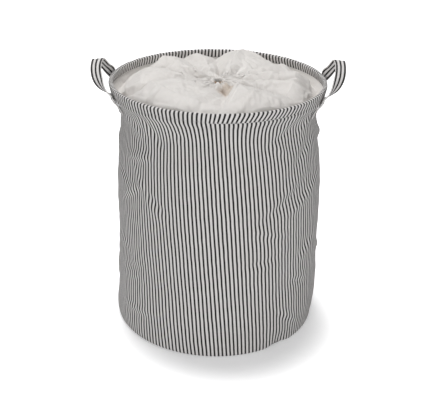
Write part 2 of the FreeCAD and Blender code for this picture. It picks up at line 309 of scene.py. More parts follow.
def muslin(name="bleached cotton muslin, crumpled"):
    """Thin plain-woven cotton that keeps fine creases, matt with a slight fuzz.

    Threads are 0.35 mm apart and are drawn at 1.0 mm.
    """
    if name in bpy.data.materials:
        return bpy.data.materials[name]
    made, tree = new_material(name)
    place = add(tree, "ShaderNodeTexCoord").outputs["Object"]
    parts = add(tree, "ShaderNodeSeparateXYZ", links={0: place})
    threads = maths(tree, "MULTIPLY",
                    maths(tree, "SINE", maths(tree, "MULTIPLY", parts.outputs[0], math.tau / 0.001)),
                    maths(tree, "SINE", maths(tree, "MULTIPLY", parts.outputs[1], math.tau / 0.001)))
    creases = add(tree, "ShaderNodeTexNoise", {"Scale": 55.0, "Detail": 5.0, "Roughness": 0.62, "Distortion": 0.8},
                  {"Vector": place}).outputs[0]
    cloudy = add(tree, "ShaderNodeTexNoise", {"Scale": 14.0, "Detail": 3.0}, {"Vector": place}).outputs[0]
    colour = add(tree, "ShaderNodeMix", {"data_type": "RGBA", 6: colours().cover, 7: linear("#D6D1CC")},
                 {0: maths(tree, "MULTIPLY", cloudy, 0.6)}).outputs[2]
    # Painted shade: a ragged beige patch in front of the mouth, mixed into the colour, stands for the shade inside the
    # deep fold there
    shade_patch_place = add(tree, "ShaderNodeMapping", {"Location": (-0.70, 1.45, 0), "Scale": (56.0, 31.0, 0.0)}, {0: place})
    near = add(tree, "ShaderNodeVectorMath", {"operation": "LENGTH"}, {0: shade_patch_place.outputs[0]}).outputs["Value"]
    ragged_shade_reach = maths(tree, "ADD", near, maths(tree, "MULTIPLY", maths(tree, "SUBTRACT", creases, 0.5), 0.9))
    # Painted shade: how strongly the beige shade colour is mixed in, most at the patch's middle
    back = add(tree, "ShaderNodeMapRange", {"interpolation_type": "SMOOTHSTEP", "From Min": 1.0, "From Max": 0.55,
               "To Min": 0.0, "To Max": 0.85}, {"Value": ragged_shade_reach}).outputs[0]
    colour = add(tree, "ShaderNodeMix", {"data_type": "RGBA", 7: linear("#CBBFB3")}, {0: back, 6: colour}).outputs[2]
    weave = add(tree, "ShaderNodeBump", {"Strength": 0.15, "Distance": 0.0001}, {"Height": threads}).outputs[0]
    bump = add(tree, "ShaderNodeBump", {"Strength": 0.35, "Distance": 0.0015}, {"Height": creases, "Normal": weave}).outputs[0]
    finish_shader(tree, colour, bump, 0.9, 0.15)
    return made


def twisted_cord(name="twisted cotton cord"):
    """Three-strand undyed cotton, matt, with darker grooves between the strands."""
    if name in bpy.data.materials:
        return bpy.data.materials[name]
    made, tree = new_material(name)
    place = add(tree, "ShaderNodeTexCoord").outputs["Object"]
    fibres = add(tree, "ShaderNodeTexNoise", {"Scale": 700.0, "Detail": 3.0}, {"Vector": place}).outputs[0]
    colour = add(tree, "ShaderNodeMix", {"data_type": "RGBA", 6: colours().cord, 7: linear("#8E765E")},
                 {0: fibres}).outputs[2]
    bump = add(tree, "ShaderNodeBump", {"Strength": 0.4, "Distance": 0.0002}, {"Height": fibres}).outputs[0]
    finish_shader(tree, colour, bump, 0.85, 0.1)
    return made


def seam_tape(name="grosgrain seam tape"):
    """Narrow ribbed tape of grey polyester: fine ribs across it and a dull shine."""
    if name in bpy.data.materials:
        return bpy.data.materials[name]
    made, tree = new_material(name)
    place = add(tree, "ShaderNodeTexCoord").outputs["Object"]
    parts = add(tree, "ShaderNodeSeparateXYZ", links={0: place})
    ribs = maths(tree, "SINE", maths(tree, "MULTIPLY", parts.outputs[2], math.tau / 0.0012))
    worn = add(tree, "ShaderNodeTexNoise", {"Scale": 120.0, "Detail": 3.0}, {"Vector": place}).outputs[0]
    colour = add(tree, "ShaderNodeMix", {"data_type": "RGBA", 6: linear("#8F8B88"), 7: linear("#6E6A68")},
                 {0: worn}).outputs[2]
    bump = add(tree, "ShaderNodeBump", {"Strength": 0.4, "Distance": 0.0002}, {"Height": ribs}).outputs[0]
    finish_shader(tree, colour, bump, 0.6)
    return made


def thread(name="grey polyester thread"):
    """Fine twisted sewing thread with a slight shine."""
    if name in bpy.data.materials:
        return bpy.data.materials[name]
    made, tree = new_material(name)
    place = add(tree, "ShaderNodeTexCoord").outputs["Object"]
    plies = add(tree, "ShaderNodeTexWave", {"Scale": 700.0, "bands_direction": "DIAGONAL"}, {"Vector": place}).outputs[1]
    colour = add(tree, "ShaderNodeMix", {"data_type": "RGBA", 6: linear("#A9A5A2"), 7: linear("#837F7C")},
                 {0: plies}).outputs[2]
    bump = add(tree, "ShaderNodeBump", {"Strength": 0.3, "Distance": 0.0001}, {"Height": plies}).outputs[0]
    finish_shader(tree, colour, bump, 0.5)
    return made


def metal(name, colour, roughness, scratch_scale):
    """Bare drawn metal: fine lines along it from the die."""
    made, tree = new_material(name)
    place = add(tree, "ShaderNodeTexCoord").outputs["Object"]
    lines = add(tree, "ShaderNodeTexNoise", {"Scale": scratch_scale, "Detail": 3.0}, {"Vector": place}).outputs[0]
    tint = add(tree, "ShaderNodeMix", {"data_type": "RGBA", 6: linear(colour), 7: linear("#5E5D5C")},
               {0: maths(tree, "MULTIPLY", lines, 0.5)}).outputs[2]
    bump = add(tree, "ShaderNodeBump", {"Strength": 0.2, "Distance": 0.00005}, {"Height": lines}).outputs[0]
    shader = add(tree, "ShaderNodeBsdfPrincipled", {"Metallic": 1.0, "Roughness": roughness},
                 {"Base Color": tint, "Normal": bump})
    add(tree, "ShaderNodeOutputMaterial", links={"Surface": shader.outputs[0]})
    return made


# ------------------------------------------------------------------ wall

# Outline of the wall cloth up from the floor, as (radius, height); it bellies out over the base
# and draws in to a neck under the hoop
WALL_OUTLINE = (
    (0.1872, 0.0075), (0.1884, 0.030), (0.1888, 0.062), (0.1874, 0.105), (0.1868, 0.150),
    (0.1865, 0.200), (0.1858, 0.250), (0.1832, 0.300), (0.1790, 0.350), (0.1750, 0.378),
    (0.1728, 0.396), (0.1742, 0.412), (0.1800, 0.428), (0.1874, 0.4385), (0.1886, 0.4437),
)
WALL_SEAM = 0.178              # radius of the seam between wall and base
WALL_CORNER = 0.0065           # rounding at the floor

# Folds of the wall cloth: direction and height in mm at both ends, half-width and height in mm.
# The cloth hangs slack from the hoop, so folds run slantwise down from the strap ends.
WALL_FOLDS = (
    (203, 424, 229, 386, 6, 2.6), (224, 436, 241, 382, 6, -2.6), (244, 420, 254, 404, 5, -2.2),
    (211, 352, 229, 362, 7, 4.0), (216, 338, 231, 288, 7, 3.0), (229, 300, 243, 272, 6, -2.6),
    (205, 268, 225, 313, 8, 3.5), (197, 322, 215, 300, 7, -3.0), (331, 324, 295, 262, 8, -4.0),
    (338, 300, 312, 262, 8, 3.4), (291, 250, 307, 227, 6, 2.6), (285, 180, 304, 188, 6, -2.6),
    (307, 78, 323, 42, 7, 3.0), (207, 54, 229, 66, 7, 3.0), (322, 424, 299, 392, 7, -3.0),
    (341, 432, 320, 396, 6, 2.8), (334, 384, 318, 352, 8, -3.2), (300, 396, 312, 372, 6, 2.0),
    (262, 398, 270, 380, 6, 1.4), (276, 404, 282, 388, 6, -1.6), (198, 190, 216, 166, 8, 3.0),
    (204, 128, 224, 146, 7, -2.6), (336, 190, 322, 160, 8, 2.8), (330, 112, 316, 128, 7, -2.6),
    (20, 300, 45, 342, 9, 3.2), (60, 204, 85, 152, 9, -3.2), (100, 330, 125, 288, 8, 3.0),
    (140, 258, 165, 302, 9, -3.2), (160, 122, 185, 88, 9, 3.0), (30, 92, 55, 58, 8, 3.0),
    (95, 88, 120, 122, 9, -2.6), (350, 384, 12, 346, 8, 3.0), (174, 384, 192, 346, 7, -3.0),
    (72, 412, 92, 380, 7, 2.6), (110, 418, 132, 392, 7, -2.6), (8, 230, 26, 262, 8, -3.0),
    (352, 150, 10, 118, 8, 3.0), (40, 420, 56, 396, 7, -2.4),
)


WALL_SPOTS = curve_through(WALL_OUTLINE, 400)
WALL_HEIGHTS = [spot[1] for spot in WALL_SPOTS]
FOLD_HEIGHT = next(joint for joint in frame["joints"] if joint["name"] == "handle_left_swing")["pos_m"][2]


def wall_radius(height):
    """Radius of the unfolded wall at a height."""
    place = bisect.bisect(WALL_HEIGHTS, height)
    return WALL_SPOTS[min(place, len(WALL_SPOTS) - 1)][0]


TAB_BOXES = [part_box(name) for name in ("left_tab_front", "left_tab_back", "right_tab_front", "right_tab_back")]
TAB_DIRECTIONS = [direction_of((low + high) / 2) for low, high in TAB_BOXES]
TAB_FOOT = min(low.z for low, high in TAB_BOXES) / MM


def along_fold(fold, direction, height, radius=187.0):
    """Height of one fold at a place on the unrolled wall, all in mm."""
    first, low, second, high, width, depth = fold
    sweep = (second - first + 180) % 360 - 180
    across = math.radians((direction - first + 180) % 360 - 180) * radius
    ahead = height - low
    run_across, run_up = math.radians(sweep) * radius, high - low
    length = math.hypot(run_across, run_up)
    share = (across * run_across + ahead * run_up) / length ** 2
    away = (across * run_up - ahead * run_across) / length
    past = max(0.0, -share, share - 1) * length
    if past > 4 * width or abs(away) > 5 * width:
        return 0.0
    fade = math.exp(-(past / (1.6 * width)) ** 2) * (0.35 + 0.65 * math.sin(math.pi * min(1, max(0, share))))
    crest = math.exp(-(away / width) ** 2)
    trough = math.exp(-((away - 1.9 * width) / (1.2 * width)) ** 2)
    return depth * fade * (crest - 0.55 * trough)


def pull_of_straps(direction, height):
    """How far the sewn strap ends draw the wall out under the hem, in metres."""
    away = min(abs((direction - middle + 180) % 360 - 180) for middle in TAB_DIRECTIONS)
    share = (height - TAB_FOOT) / (FOLD_HEIGHT / MM - TAB_FOOT)
    if away > 11 or share < 0:
        return 0.0
    radius = tab_radius(height * MM, min(1.0, share), 0.1929) - sizes().strap * 0.6 - 0.0006
    return max(0.0, radius - wall_radius(height * MM)) * smooth((11 - away) / 6.5) * smooth((WALL_HIGH.z / MM - height) / 2.5)


def flat_under_straps(direction, height):
    """0 where a strap end is sewn to the wall, rising to 1 around it."""
    away = min(abs((direction - middle + 180) % 360 - 180) for middle in TAB_DIRECTIONS) * 3.2 - 11
    return smooth(max(away, TAB_FOOT - height) / 14)


def wall_rise(place):
    """How far folds push the wall out at a place, in metres."""
    direction, height = direction_of(place), place.z / MM
    facing_side = abs(math.cos(math.radians(direction)))
    rise = sum(along_fold(fold, direction, height) for fold in WALL_FOLDS) * (0.75 + 0.35 * facing_side)
    turn = math.radians(direction)
    around = Vector((math.cos(turn), math.sin(turn), 0)) * 3.1
    slanted = Vector((0, 0, height / 62 + direction / 50))
    rise += (0.7 + 1.3 * facing_side) * noise.noise(around + slanted)
    rise += (0.25 + 0.75 * facing_side) * noise.noise(around * 2.6 + Vector((7, 3, height / 21)))
    rise += 0.3 * noise.noise(around * 6 + Vector((2, 9, height / 11)))
    # The left side hangs a little slimmer than the right
    waist = smooth(height / 60) * smooth((430 - height) / 60)
    rise -= 3.4 * waist * max(0.0, math.cos(math.radians(direction - 186))) ** 2
    rise -= 2.6 * math.exp(-((height - 190) / 90) ** 2) * max(0.0, math.cos(math.radians(direction - 186))) ** 2
    rise += 4.4 * waist * max(0.0, math.cos(math.radians(direction - 355))) ** 2
    held = smooth(height / 26) * smooth((WALL_HIGH.z / MM - height) / 16)
    return rise * MM * held * flat_under_straps(direction, height) + pull_of_straps(direction, height)


def wall_lean(place):
    """Turning of the stripes at a place, in stripes: the cloth is twisted a little under the hoop."""
    direction = math.radians(direction_of(place))
    share = place.z / WALL_HIGH.z
    return sizes().stripes * sizes().twist / math.tau * share * (1 + 0.4 * math.cos(direction - math.radians(230)))


class LAUNDRY_OT_wall(bpy.types.Operator):
    """Wall: one piece of ticking, sewn to the base, bellied and folded under its own weight"""
    bl_idname = "laundry.wall"
    bl_label = "Wall"

    def execute(self, context):
        corner = [(WALL_SEAM, 0.006), (WALL_SEAM, 0.0016), (WALL_SEAM + 0.0014, 0.0002)]
        for step in range(5):
            turn = math.radians(-90 + 22.5 * step)
            corner.append((0.1872 - WALL_CORNER + WALL_CORNER * math.cos(turn), 0.0002 + WALL_CORNER * (1 + math.sin(turn))))
        spots = corner[:-1] + [tuple(spot) for spot in curve_through(WALL_OUTLINE, 112)]
        made = turned(spots, 320)
        face_along(made, lambda place: Vector((place.x, place.y, 0)) if place.z > 0.01 else Vector((0, 0, -1)))
        map_stripes(made, lambda place: place.z if place.z > 0.0072 else place.xy.length - 0.1800, wall_lean)
        for vert in made.verts:
            out = Vector((vert.co.x, vert.co.y, 0)).normalized()
            away = (direction_of(vert.co) - 309) / 5.5
            dent = math.exp(-away ** 2) * smooth(1 - vert.co.z / 0.03)
            vert.co += out * wall_rise(vert.co) + (Vector((0, 0, 0.0042)) - out * 0.0035) * dent
        wall = piece("wall_cloth", made, ticking())
        thicken(wall, sizes().canvas)
        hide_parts("wall")
        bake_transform(wall)
        return {"FINISHED"}


class LAUNDRY_OT_base(bpy.types.Operator):
    """Base: a round of ticking, the tape that binds its seam, and the tape over the wall's seam"""
    bl_idname = "laundry.base"
    bl_label = "Base"

    def execute(self, context):
        low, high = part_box("base_panel")
        edge = high.x
        made = turned([(edge, high.z), (edge, 0.0016), (edge - 0.0014, 0.0002), (edge * 0.93, 0.0002),
                       (edge * 0.8, 0.0005), (edge * 0.6, 0.0008), (edge * 0.4, 0.0008), (edge * 0.2, 0.0006), (0.004, 0.0005)], 192)
        bmesh.ops.holes_fill(made, edges=[e for e in made.edges if e.is_boundary and e.calc_length() < 0.001], sides=0)
        face_along(made, lambda place: Vector((place.x, place.y, -0.001)))
        layer = made.loops.layers.uv.new("cloth")
        for face in made.faces:
            for loop in face.loops:
                loop[layer].uv = (loop.vert.co.x / (math.tau * 0.1885 / sizes().stripes), loop.vert.co.y)
        for vert in made.verts:
            if vert.co.z < 0.004:
                vert.co.z += 0.0003 * (1 + noise.noise(vert.co * 30))
        base = piece("base_cloth", made, ticking())
        thicken(base, sizes().canvas)
        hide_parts("base_panel")
        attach(base, "bag")

        low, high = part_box("base_binding")
        top, out = high.z, high.x
        inner = 2 * WALL_SEAM - out
        made = turned([(out, 0.0024), (out, top - 0.0012), (out - 0.0008, top - 0.0002), (WALL_SEAM, top),
                       (inner + 0.0008, top - 0.0002), (inner, top - 0.0012), (inner, 0.0024)], 192)
        face_along(made, lambda place: Vector((0, 0, 1)) if place.z > top - 0.001 else Vector((place.x, place.y, 0)))
        map_stripes(made, lambda place: place.z)
        for vert in made.verts:
            vert.co.z += 0.00015 * noise.noise(vert.co * 160)
        binding = piece("base_binding_tape", made, seam_tape())
        thicken(binding, 0.0005)
        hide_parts("base_binding")
        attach(binding, "bag")

        low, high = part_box("side_seam_tape")
        made = bmesh.new()
        bmesh.ops.create_grid(made, x_segments=6, y_segments=110, size=0.5)
        layer = made.loops.layers.uv.new("cloth")
        inside = [(radius - 0.0021, height) for radius, height in curve_through(WALL_OUTLINE, 110)]
        for face in made.faces:
            for loop in face.loops:
                loop[layer].uv = (loop.vert.co.x, loop.vert.co.y)
        for vert in made.verts:
            across, share = vert.co.x, vert.co.y + 0.5
            radius, height = inside[min(110, round(share * 110))]
            turn = math.radians(90) - across * 0.012 / radius
            place = Vector((radius * math.cos(turn), radius * math.sin(turn), max(height, low.z)))
            vert.co = place + Vector((math.cos(turn), math.sin(turn), 0)) * wall_rise(place)
        face_along(made, lambda place: Vector((0, -1, 0)))
        seam = piece("side_seam_tape_cloth", made, seam_tape())
        thicken(seam, 0.0004)
        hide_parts("side_seam_tape")
        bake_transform(seam)
        return {"FINISHED"}


# ------------------------------------------------------------------ rim

class LAUNDRY_OT_hem(bpy.types.Operator):
    """Hem: the top of the ticking turned in over the hoop and stitched, with the wire inside it"""
    bl_idname = "laundry.hem"
    bl_label = "Hem and hoop"

    def execute(self, context):
        top, foot = HEM_HIGH.z, HEM_LOW.z
        out = HEM_HIGH.x
        middle = out - 0.00375
        half = ((0.0012, foot), (0.0014, foot + 0.0015), (0.0021, foot + 0.0045), (0.0030, foot + 0.0078),
                (0.0037, foot + 0.0112), (0.0035, foot + 0.0137), (0.0024, foot + 0.0154), (0.0, top - 0.0001))
        knots = [(middle + r, z) for r, z in half] + [(middle - r, z) for r, z in half[-2::-1]]
        made = turned(curve_through(knots, 26), 384)
        face_along(made, lambda place: Vector((place.x, place.y, 0)) * (1 if place.xy.length > middle else -1))
        bottom = foot + 0.001
        depth = sizes().stripes * sizes().twist / math.tau

        def over(place):
            return place.z if place.xy.length >= middle else 2 * top - place.z

        def lean(place):
            # Sewn down a little askew: the stripes of the hem slant against those of the wall
            direction = math.radians(direction_of(place))
            degrees = math.degrees(direction)
            skew = 0.15 * math.sin(direction * 2 + 0.6) - 1.0 * math.exp(-((degrees - 300) / 22) ** 2)
            skew -= 0.3 * math.exp(-((degrees - 275) / 12) ** 2)
            shift = 0.45 * smooth((degrees - 262) / 10) * smooth((318 - degrees) / 14)
            slant = depth * (1 + 0.4 * math.cos(direction - math.radians(230)))
            return slant + shift + skew * (over(place) - bottom) / 0.016

        map_stripes(made, over, lean)
        for vert in made.verts:
            place = vert.co.copy()
            turn = math.atan2(place.y, place.x)
            outwards = Vector((math.cos(turn), math.sin(turn), 0))
            around = outwards * 9
            free = smooth((place.z - foot) / 0.006)
            swell = 0.55 * noise.noise(around + Vector((0, 0, place.z * 60)))
            swell += 0.35 * noise.noise(outwards * 26 + Vector((3, 5, place.z * 90)))
            side = 1 if place.xy.length > middle else -1
            vert.co += outwards * side * min(0.00035, swell * 0.0007) * free
            vert.co.z += 0.0004 * noise.noise(around * 1.4 + Vector((5, 1, 0))) * free - 0.0003 * free
        hem = piece("rim_hem_cloth", made, ticking())
        thicken(hem, sizes().canvas * 0.9)
        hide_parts("rim_hem")
        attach(hem, "rim")

        wire = frame["nodes"]["rim_wire"]
        wire.data.materials.clear()
        wire.data.materials.append(metal("drawn spring steel wire", "#9A9B9C", 0.35, 400.0))
        sleeve = frame["nodes"]["wire_sleeve"]
        sleeve.data.materials.clear()
        sleeve.data.materials.append(metal("crimped aluminium tube", "#B9BABC", 0.45, 260.0))
        return {"FINISHED"}


# ------------------------------------------------------------------ handles

HANDLE_SPAN = 0.112            # between the middles of the two strap ends
HANDLE_RISES = {"handle_left": 0.0475, "handle_right": 0.0525}   # from the fold line to the top
HANDLE_BULGE = 0.024           # how far the arch bends outwards on its way up
ARCH_BOW = 0.35                # how far both legs bow apart
ARCH_SKEW = 0.014              # how far the front leg stands out before the back leg
ARCH_SHARPNESS = 0.12          # lower is more pointed at the top
FOOT_SKEW = math.radians(9)    # how far a strap end is turned to follow the hem
TAB_LENGTH = 0.033             # sewn end below the fold line


class HandlePlace:
    """Where one handle stands: outwards from the bag, along its rim, and its feet."""

    def __init__(self, name):
        joint = next(joint for joint in frame["joints"] if joint["name"] == name + "_swing")
        pivot = Vector(joint["pos_m"])
        self.name = name
        self.fold = pivot.z
        self.rise = HANDLE_RISES[name]
        self.out = Vector((pivot.x, pivot.y, 0)).normalized()
        self.along = Vector((-self.out.y, self.out.x, 0))
        self.foot_out = pivot.xy.length - 0.0040
        self.foot_radius = math.hypot(self.foot_out, HANDLE_SPAN / 2)
        self.foot_turn = math.atan2(HANDLE_SPAN / 2, self.foot_out)

    def at(self, along, out, height):
        return self.along * along + self.out * out + Vector((0, 0, height))


def arch_share(across):
    """Share of the arch's rise: across is -1 and 1 at the feet and 0 at the top."""
    foot = math.hypot(1, ARCH_SHARPNESS)
    return (foot - math.hypot(across, ARCH_SHARPNESS)) / (foot - ARCH_SHARPNESS)


def arch_frame(place, across):
    """Middle of the strap, its width direction and its outward direction at a place on the arch."""
    def middle(spot):
        share = arch_share(spot)
        along = HANDLE_SPAN / 2 * spot * (1 + ARCH_BOW * (1 - spot ** 2))
        out = place.foot_out + HANDLE_BULGE * math.sin(math.pi / 2 * share)
        out += ARCH_SKEW * spot * (1 - spot ** 2) * (-1 if place.along.y > 0 else 1)
        return place.at(along, out, place.fold + place.rise * share)
    heading = (middle(min(1, across + 0.004)) - middle(max(-1, across - 0.004))).normalized()
    share = arch_share(across)
    at_back = (place.along * across).y > 0
    turned_up = math.radians(110 if at_back else 70)
    twist = FOOT_SKEW + (turned_up - FOOT_SKEW) * math.sin(math.pi / 2 * share)
    edge = place.along * math.copysign(math.cos(twist), across) - place.out * math.sin(twist)
    facing = heading.cross(edge).normalized()
    flat = smooth(arch_share(across) / 0.12)
    width = (facing.cross(heading) * flat + edge * (1 - flat)).normalized()
    return middle(across), width, facing


def tab_radius(height, share, foot_radius):
    """Radius of the middle of a sewn end, which leaves the wall to pass outside the hem."""
    seated = wall_radius(min(height, WALL_HIGH.z)) + 0.0003 + sizes().strap * 0.6
    return seated + (foot_radius - seated) * share ** 3


def tab_frame(place, foot, share):
    """The same for a sewn end: share is 0 at its lower edge and 1 at the fold line."""
    turned_in = share ** 3
    height = place.fold - 0.0002 - TAB_LENGTH * (1 - share)
    radius = tab_radius(height, share, place.foot_radius)
    angle = place.foot_turn * foot
    skew = angle * (1 - turned_in) + math.copysign(FOOT_SKEW, foot) * turned_in
    middle = place.at(radius * math.sin(angle), radius * math.cos(angle), height)
    return middle, place.at(math.cos(skew), -math.sin(skew), 0), place.at(math.sin(skew), math.cos(skew), 0)


def ribbon(rows, columns, spot):
    """Grid of a strap: spot(across, share) places each vertex, with across from -0.5 to 0.5."""
    made = bmesh.new()
    bmesh.ops.create_grid(made, x_segments=columns, y_segments=rows, size=0.5)
    layer = made.loops.layers.uv.new("cloth")
    pitch = math.tau * 0.1885 / sizes().stripes
    lengths, places = [0.0], [spot(0.0, row / rows) for row in range(rows + 1)]
    for before, after in zip(places, places[1:]):
        lengths.append(lengths[-1] + (after - before).length)
    for face in made.faces:
        for loop in face.loops:
            row = round((loop.vert.co.y + 0.5) * rows)
            loop[layer].uv = (loop.vert.co.x * sizes().strap_width / pitch + 0.5, lengths[row])
    for vert in made.verts:
        vert.co = spot(vert.co.x, vert.co.y + 0.5)
    return made


def stitch_row(made, places, spacing, length=0.0026, thick=0.0007):
    """Rounded stitches along a path of (place, outward direction), sunk halfway into the cloth."""
    walked, due = 0.0, spacing / 2
    for (here, up_here), (there, _) in zip(places, places[1:]):
        run = (there - here).length
        while walked + run >= due:
            spot = here.lerp(there, (due - walked) / max(run, 1e-9))
            ahead = (there - here).normalized()
            side = up_here.cross(ahead).normalized()
            lifted = ahead.cross(side).normalized()
            turn = Matrix((ahead, side, lifted)).transposed().to_4x4()
            size = Matrix.Diagonal((length / 2, thick / 2, thick / 2, 1))
            bmesh.ops.create_icosphere(made, subdivisions=1, radius=1.0, matrix=Matrix.Translation(spot) @ turn @ size)
            due += spacing
        walked += run


class LAUNDRY_OT_handles(bpy.types.Operator):
    """Handles: two loops of folded ticking and their four sewn ends, with crossed stitching"""
    bl_idname = "laundry.handles"
    bl_label = "Handles"

    def execute(self, context):
        wide, thick = sizes().strap_width, sizes().strap
        for name in ("handle_left", "handle_right"):
            place = HandlePlace(name)
            side = name.split("_")[1]

            def on_arch(across, share):
                step = 2 * share - 1
                middle, width, facing = arch_frame(place, math.copysign(abs(step) ** 1.3, step))
                crown = thick * 0.3 * (0.25 - across ** 2) * 4
                return middle + width * across * wide + facing * (crown - thick * 0.2)

            made = ribbon(96, 10, on_arch)
            face_along(made, lambda spot: place.out)
            strap = piece(side + "_handle_webbing", made, ticking())
            thicken(strap, thick, 0.0)
            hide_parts(side + "_handle_strap")
            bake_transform(strap)

            for end, foot in (("front", -1 if side == "right" else 1), ("back", 1 if side == "right" else -1)):
                def on_tab(across, share, lift=0.0):
                    middle, width, facing = tab_frame(place, foot, share)
                    worn = 0.0003 * noise.noise(Vector((across * 3, share * 4, foot)))
                    return middle + width * across * wide + facing * (worn + lift)
                made = ribbon(24, 10, on_tab)
                face_along(made, lambda spot: Vector((spot.x, spot.y, 0)))
                tab = piece(side + "_tab_" + end + "_webbing", made, ticking())
                thicken(tab, thick, 0.0)
                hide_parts(side + "_tab_" + end)
                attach(tab, "rim")

                made = bmesh.new()
                lift = thick / 2 + 0.0001
                box_path = [(-0.38, 0.12), (0.38, 0.12), (0.38, 0.72), (-0.38, 0.72), (-0.38, 0.12)]
                cross = [[(-0.38, 0.12), (0.38, 0.72)], [(0.38, 0.12), (-0.38, 0.72)]]
                for path in [box_path] + cross:
                    spots = []
                    for (a, b), (c, d) in zip(path, path[1:]):
                        for step in range(12):
                            t = step / 12
                            where = (a + (c - a) * t, b + (d - b) * t)
                            spots.append((on_tab(*where, lift), tab_frame(place, foot, where[1])[2]))
                    spots.append((on_tab(*path[-1], lift), tab_frame(place, foot, path[-1][1])[2]))
                    stitch_row(made, spots, 0.0032)
                stitches = piece(side + "_tab_" + end + "_stitches", made, thread())
                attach(stitches, "rim")
        return {"FINISHED"}


# ------------------------------------------------------------------ cover

# Lobes of the gathered cover between its valleys, anticlockwise from the front: direction of the
# valley at the rim and near the mouth, depth of that valley, height of the lobe after it in mm, and
# where its ridge lies
COVER_LOBES = (
    (268, 287, 11.0, 8.0, 0.40),
    (330, 318, 9.0, 5.0, 0.50),
    (357, 350, 8.0, 7.0, 0.45),
    (380, 378, 5.0, 4.0, 0.50),
    (404, 400, 5.0, 12.0, 0.58),
    (454, 448, 13.0, 6.0, 0.50),
    (478, 484, 10.0, 7.5, 0.62),
    (512, 510, 6.0, 4.5, 0.55),
    (553, 560, 10.0, 10.0, 0.28),
)
# Soft dents and swellings of the cover: place across and forwards in mm, reach and height in mm
COVER_DENTS = (
    (-150, -46, 28, -12.0), (-146, 20, 26, -8.0), (170, -22, 20, -5.0), (-128, 96, 22, -7.0), (132, 96, 22, -6.0),
    (38, 104, 20, 3.0), (-90, 80, 28, 2.0), (62, -130, 44, 3.0), (-70, -118, 46, 4.0), (16, -40, 12, -8.0),
    (120, 40, 30, -3.0), (-30, 130, 24, -4.0), (100, -75, 16, -3.0),
)
# Creases that cross the lobes: both ends in mm, half-width and height in mm
COVER_CREASES = (
    (52, -44, 92, -62, 4, -3.5), (46, 12, 92, 18, 4, -3.0), (112, -4, 150, 4, 4, -3.0),
    (-120, -66, -60, -46, 6, -3.0), (-118, 12, -50, 14, 6, -3.0), (34, -56, 12, -128, 5, 4.0),
    (20, 40, 38, 100, 6, 3.0), (60, -90, 130, -110, 9, -2.0), (-110, -110, -50, -80, 9, 2.0),
    (-140, 40, -90, 60, 6, -2.5), (70, 60, 120, 90, 7, -2.5), (-60, 130, -30, 80, 6, -2.5),
    (0, -90, -30, -150, 7, -2.0), (40, -150, 70, -100, 7, 2.0), (-160, -20, -120, -30, 6, 2.5),
    (90, -40, 140, -50, 5, 2.2), (110, -90, 150, -70, 6, -2.4), (-20, 60, -12, 120, 6, -3.0),
)


def lobe_at(direction, share):
    """Height of the lobes at a direction, with share 0 at the rim and 1 at the mouth, in mm."""
    lobes = COVER_LOBES + (tuple(a + 360 if place < 2 else a for place, a in enumerate(COVER_LOBES[0])),)
    for turn in (0, 360):
        for here, following in zip(lobes, lobes[1:]):
            start = here[0] + (here[1] - here[0]) * share
            end = following[0] + (following[1] - following[0]) * share
            if start <= direction + turn < end:
                across = (direction + turn - start) / (end - start)
                ridge = here[4]
                crest = 1 - abs((across - ridge) / (ridge if across < ridge else 1 - ridge)) ** 1.35
                valley = here[2] + (following[2] - here[2]) * across
                return here[3] * crest - valley * (1 - crest)
    return 0.0


def cover_height(place, edge, mouth):
    """Height of the cover above the stitch line of the hem at a place, in metres."""
    radius = place.xy.length
    share = (edge - radius) / (edge - mouth)
    swirl = 5 * noise.noise(Vector((place.x * 14, place.y * 14, 1))) * smooth(share * 2)
    direction = (direction_of(place) + swirl) % 360
    x, y = place.x / MM, place.y / MM
    at_ends = (place.x / max(radius, 1e-6)) ** 2
    height = 23.0 * smooth((share - 0.02 - 0.03 * at_ends) / 0.26)
    height -= (4.0 + 8.0 * at_ends) * math.sin(math.pi * min(1, share / 0.14))
    height -= 12.0 * smooth((share - 0.5) / 0.5)
    held = smooth(share / 0.34) * smooth((1.02 - share) / 0.26)
    height += lobe_at(direction, share) * held
    for across, ahead, reach, depth in COVER_DENTS:
        height += depth * math.exp(-((x - across) ** 2 + (y - ahead) ** 2) / reach ** 2) * smooth(share / 0.17)
    for x1, y1, x2, y2, width, depth in COVER_CREASES:
        run = Vector((x2 - x1, y2 - y1))
        t = Vector((x - x1, y - y1)).dot(run) / run.length_squared
        away = ((x - x1) * run.y - (y - y1) * run.x) / run.length
        fade = math.exp(-(max(0.0, -t, t - 1) * run.length / (1.5 * width)) ** 2)
        fold = math.exp(-(away / width) ** 2) - 0.5 * math.exp(-((away - 1.8 * width) / (1.3 * width)) ** 2)
        height += depth * fade * fold * smooth(share / 0.1)
    # Gathers run out from the drawstring, and small puckers in from the hem's stitching
    turn = math.radians(direction_of(place))
    around = Vector((math.cos(turn), math.sin(turn), 0))
    gathers = math.sin(19 * turn + 5 * noise.noise(around * 1.7)) + 0.6 * math.sin(31 * turn + 7 * noise.noise(around * 2.3))
    height += 1.9 * gathers * smooth((share - 0.52) / 0.36)
    height += 0.7 * noise.noise(around * 24) * math.exp(-share / 0.07) * smooth(share / 0.02)
    height += 1.3 * noise.noise(Vector((x / 30, y / 30, 4))) * held + 0.25 * noise.noise(Vector((x / 9, y / 9, 2))) * held
    return height * MM


